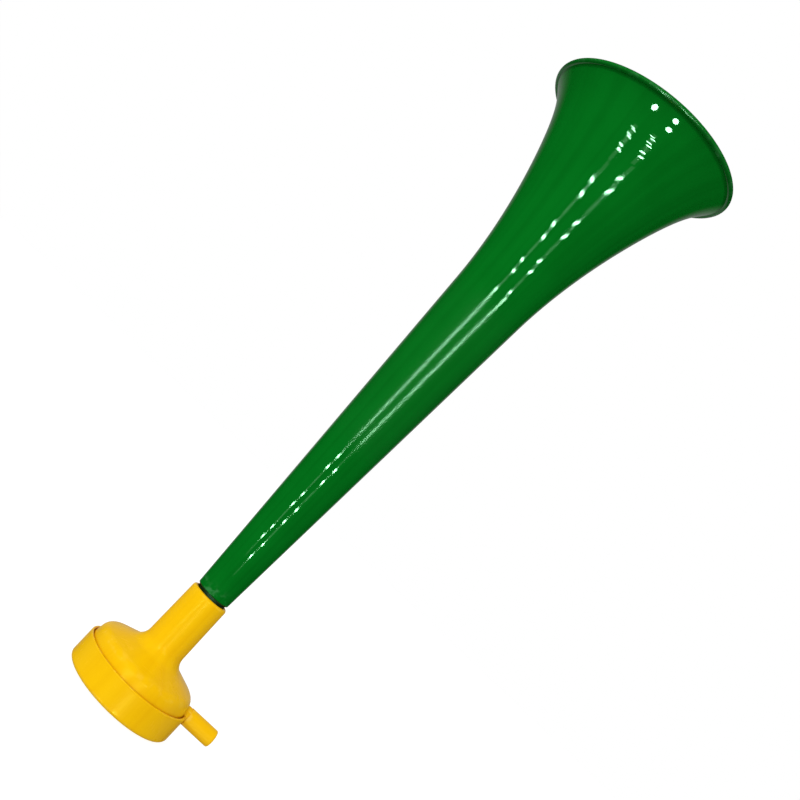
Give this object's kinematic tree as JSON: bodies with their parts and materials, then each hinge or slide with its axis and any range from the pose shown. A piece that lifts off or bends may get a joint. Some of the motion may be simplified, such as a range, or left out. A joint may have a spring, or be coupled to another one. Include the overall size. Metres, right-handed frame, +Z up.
{
  "type": "mouth-blown diaphragm horn",
  "caption": "Flared cheering horn plugged into a round reed head with a side blow tube and a push-on end cap; blown by mouth.",
  "frame": {"origin": "centre of the end cap's foot, on the horn's axis", "axes": "+Z up the horn's axis from the cap to the open bell, +X along the mouthpiece away from the head"},
  "size_m": [0.1136, 0.1136, 0.4],
  "materials": {
    "yellow_plastic": "glossy moulded, warm yellow",
    "green_plastic": "glossy moulded, deep green",
    "ring_plastic": "plain off-white moulding",
    "film": "thin translucent film"
  },
  "bodies": {
    "cap": {"end_cap": "yellow_plastic", "clamp_ring": "ring_plastic", "diaphragm": "film"},
    "head": {"head_body": "yellow_plastic", "mouthpiece_tube": "yellow_plastic"},
    "horn": {"horn_bell": "green_plastic"}
  },
  "joints": [
    {"name": "cap_pull", "type": "slide", "parent": "cap", "child": "head", "axis": [0, 0, 1], "range_m": [0, 0.03]},
    {"name": "horn_pull", "type": "slide", "parent": "head", "child": "horn", "axis": [0, 0, 1], "range_m": [0, 0.06]}
  ]
}
